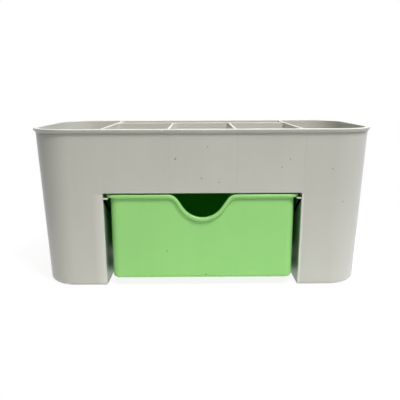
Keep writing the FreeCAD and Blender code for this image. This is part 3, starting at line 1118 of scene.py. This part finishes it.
    def _relief(self, ground: Ground, sinks: Socket) -> Socket:
        """The mould's grain over the sink lines and the slight ripple of a thin wall.

        Args:
            ground: what they are drawn on.
            sinks: the sink lines.

        Returns:
            The normal.
        """
        tree, place = ground.tree, ground.place
        ripple = add_node(tree, "ShaderNodeBump", {
            "Height": self._noise(tree, place, self.ripple_size, 1.0, 0.0, 1.0), "Distance": self.ripple_depth,
        })
        sunk = add_node(tree, "ShaderNodeBump", {
            "Height": sinks, "Distance": self.sink_depth, "Normal": ripple.outputs["Normal"],
        }, invert=True)
        grain = add_node(tree, "ShaderNodeBump", {
            "Height": self._noise(tree, place, self.grain_size, 2.0, 0.0, 1.0), "Distance": self.grain_depth,
            "Normal": sunk.outputs["Normal"],
        })
        return grain.outputs["Normal"]


@dataclass(frozen=True)
class Lamp:
    """One soft round studio lamp, aimed at the middle of the box.

    The bearing turns from straight in front (0) to the right (90), and the lift rises from the floor (0) to
    straight above (90).
    """

    name: str
    bearing: float
    lift: float
    watts: float
    distance: float = 1.1
    size: float = 0.6
    colour: str = "#FFFFFF"

    def hang(self, target: Vector) -> None:
        """Makes the lamp and aims it.

        Args:
            target: the point that it is aimed at.
        """
        data = bpy.data.lights.new(self.name, "AREA")
        data.shape = "DISK"
        data.size = self.size
        data.energy = self.watts
        data.color = linear(self.colour)[:3]
        lamp = bpy.data.objects.new(self.name, data)
        bearing, lift = math.radians(self.bearing), math.radians(self.lift)
        away = Vector((math.sin(bearing) * math.cos(lift), -math.cos(bearing) * math.cos(lift), math.sin(lift)))
        lamp.location = target + away * self.distance
        lamp.rotation_euler = away.to_track_quat("Z", "Y").to_euler()
        bpy.context.scene.collection.objects.link(lamp)


@dataclass(frozen=True)
class PictureCamera:
    """The camera, fitted to the picture's rim, foot, tunnel and divider lines."""

    focal_pixels: float = 484.24
    place: tuple[float, float, float] = (-3.69 * MM, -347.2 * MM, 123.8 * MM)
    turned_right: float = math.radians(0.416)
    tipped_down: float = math.radians(12.35)
    rolled: float = math.radians(-0.181)

    def set_up(self) -> None:
        """Makes the camera and gives it to the scene."""
        data = bpy.data.cameras.new("picture_camera")
        data.sensor_fit = "HORIZONTAL"
        data.lens = data.sensor_width * self.focal_pixels / PICTURE_SIDE
        camera = bpy.data.objects.new("picture_camera", data)
        turn = Matrix.Rotation(-self.turned_right, 4, "Z")
        tip = Matrix.Rotation(math.pi / 2 - self.tipped_down, 4, "X")
        roll = Matrix.Rotation(self.rolled, 4, "Z")
        camera.matrix_world = Matrix.Translation(self.place) @ turn @ tip @ roll
        bpy.context.scene.collection.objects.link(camera)
        bpy.context.scene.camera = camera


@dataclass(frozen=True)
class Studio:
    """A pale floor that keeps the box's shadow, a white backdrop and soft lamps around and above.

    Each reach is measured from the box's middle. A squeeze below one makes it longer across the front.
    """

    lamps: tuple[Lamp, ...] = (
        Lamp("key_lamp", bearing=34, lift=60, watts=8.6, size=0.32),
        Lamp("front_lamp", bearing=4, lift=58, watts=4.2, size=0.4, colour="#FFF9EE"),
        Lamp("right_lamp", bearing=97, lift=43, watts=4.6, colour="#F0F1FF"),
        Lamp("back_lamp", bearing=180, lift=60, watts=5.0),
    )
    paper_colour: str = "#F0F1F3"
    table_colour: str = "#5A5A58"
    paper_reach: tuple[float, float] = (0.13, 0.34)
    floor_side: float = 8.0
    shadow_reach: tuple[float, float] = (0.11, 0.19)
    shadow_squeeze: float = 0.62
    shadow_fade: float = 0.85
    full_shade_reach: tuple[float, float] = (0.015, 0.031)
    full_shade_squeeze: float = 0.31
    lit_white: float = 1.05

    def _seen(self, tree: Tree) -> Socket:
        """Which rays see the white backdrop.

        Args:
            tree: the node tree of the world or of the floor's material.

        Returns:
            One for a ray of such a kind, else zero.
        """
        path = add_node(tree, "ShaderNodeLightPath")
        total: Any = 0.0
        for kind in Lit:
            total = add_node(tree, "ShaderNodeMath", {0: total, 1: path.outputs[kind.value]},
                             operation="MAXIMUM").outputs[0]
        return total

    def _backdrop(self) -> None:
        """A world that is white to the rays that see it and gives no light: the lamps alone light the box."""
        world = bpy.data.worlds.new("studio_world")
        world.use_nodes = True
        tree = world.node_tree
        tree.nodes.clear()
        white = add_node(tree, "ShaderNodeBackground", {"Color": (1, 1, 1, 1), "Strength": self._seen(tree)})
        add_node(tree, "ShaderNodeOutputWorld", {"Surface": white.outputs[0]})
        bpy.context.scene.world = world

    def _floor_material(self) -> bpy.types.Material:
        """A sheet of matt white paper on a greyer table.

        It keeps the full shade under the box and a faint shadow beside it, and the rays that see the backdrop
        find plain white further out.

        Returns:
            The material.
        """
        material = bpy.data.materials.new("studio_paper")
        material.use_nodes = True
        tree = material.node_tree
        tree.nodes.clear()
        place = add_node(tree, "ShaderNodeTexCoord").outputs["Object"]

        def past(reach: tuple[float, float], squeeze: float) -> Socket:
            """How far out a place on the floor lies.

            Args:
                reach: a near and a far distance from the box's middle.
                squeeze: what the distance across the front is multiplied by.

            Returns:
                Zero inside the near distance, one outside the far one.
            """
            shrunk = add_node(tree, "ShaderNodeMapping", {"Vector": place, "Scale": (squeeze, 1.0, 1.0)})
            distance = add_node(tree, "ShaderNodeVectorMath", {0: shrunk.outputs["Vector"]}, operation="LENGTH")
            ramp = add_node(tree, "ShaderNodeMapRange", {
                "Value": distance.outputs["Value"], "From Min": reach[0], "From Max": reach[1],
            }, interpolation_type="SMOOTHSTEP")
            return ramp.outputs["Result"]

        colour = add_node(tree, "ShaderNodeMix", {
            0: past(self.paper_reach, 1.0), MIX_A: linear(self.paper_colour), MIX_B: linear(self.table_colour),
        }, data_type="RGBA")
        paper = add_node(tree, "ShaderNodeBsdfDiffuse", {"Color": colour.outputs[MIX_RESULT]})
        seen = self._seen(tree)
        beside = add_node(tree, "ShaderNodeMath", {
            0: seen, 1: past(self.full_shade_reach, self.full_shade_squeeze),
        }, operation="MULTIPLY")
        faded = add_node(tree, "ShaderNodeMath", {0: beside.outputs[0], 1: self.shadow_fade},
                         operation="MULTIPLY")
        bright = add_node(tree, "ShaderNodeEmission", {"Strength": self.lit_white})
        near = add_node(tree, "ShaderNodeMixShader", {
            0: faded.outputs[0], 1: paper.outputs[0], 2: bright.outputs[0],
        })
        beyond = add_node(tree, "ShaderNodeMath", {0: seen, 1: past(self.shadow_reach, self.shadow_squeeze)},
                          operation="MULTIPLY")
        white = add_node(tree, "ShaderNodeEmission", {"Strength": 1.0})
        mix = add_node(tree, "ShaderNodeMixShader", {
            0: beyond.outputs[0], 1: near.outputs[0], 2: white.outputs[0],
        })
        add_node(tree, "ShaderNodeOutputMaterial", {"Surface": mix.outputs[0]})
        return material

    def set_up(self, target: Vector) -> None:
        """Lays the floor, lights the box and sets the plain view transform.

        Args:
            target: the point that the lamps are aimed at.
        """
        shell = Shell()
        bmesh.ops.create_grid(shell.mesh, x_segments=1, y_segments=1, size=self.floor_side / 2)
        floor = shell.finish("studio_floor")
        floor.data.materials.append(self._floor_material())
        floor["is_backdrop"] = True
        self._backdrop()
        for lamp in self.lamps:
            lamp.hang(target)
        bpy.context.scene.view_settings.view_transform = "Standard"


def dress(piece: Piece, finish: MouldedPolypropylene, body: str, node: str) -> None:
    """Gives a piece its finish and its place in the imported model.

    Args:
        piece: the finished mesh.
        finish: the plastic it is moulded in.
        body: the body that it rides on.
        node: the node that it stands for.
    """
    piece.data.materials.clear()
    piece.data.materials.append(finish.material())
    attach(piece, body)
    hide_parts(node)
    log.info("%s: %d faces in %s", piece.name, len(piece.data.polygons), finish.name)


def main() -> None:
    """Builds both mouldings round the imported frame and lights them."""
    logging.basicConfig(level=logging.INFO, format="%(message)s")
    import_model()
    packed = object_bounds()

    body = BodyMoulding.from_frame("box_body")
    body.dress(body.build())
    drawer = DrawerMoulding.from_frame("drawer")
    drawer.dress(drawer.build())

    PictureCamera().set_up()
    low, high = packed
    Studio().set_up((low + high) / 2)


if __name__ == "__main__":
    main()
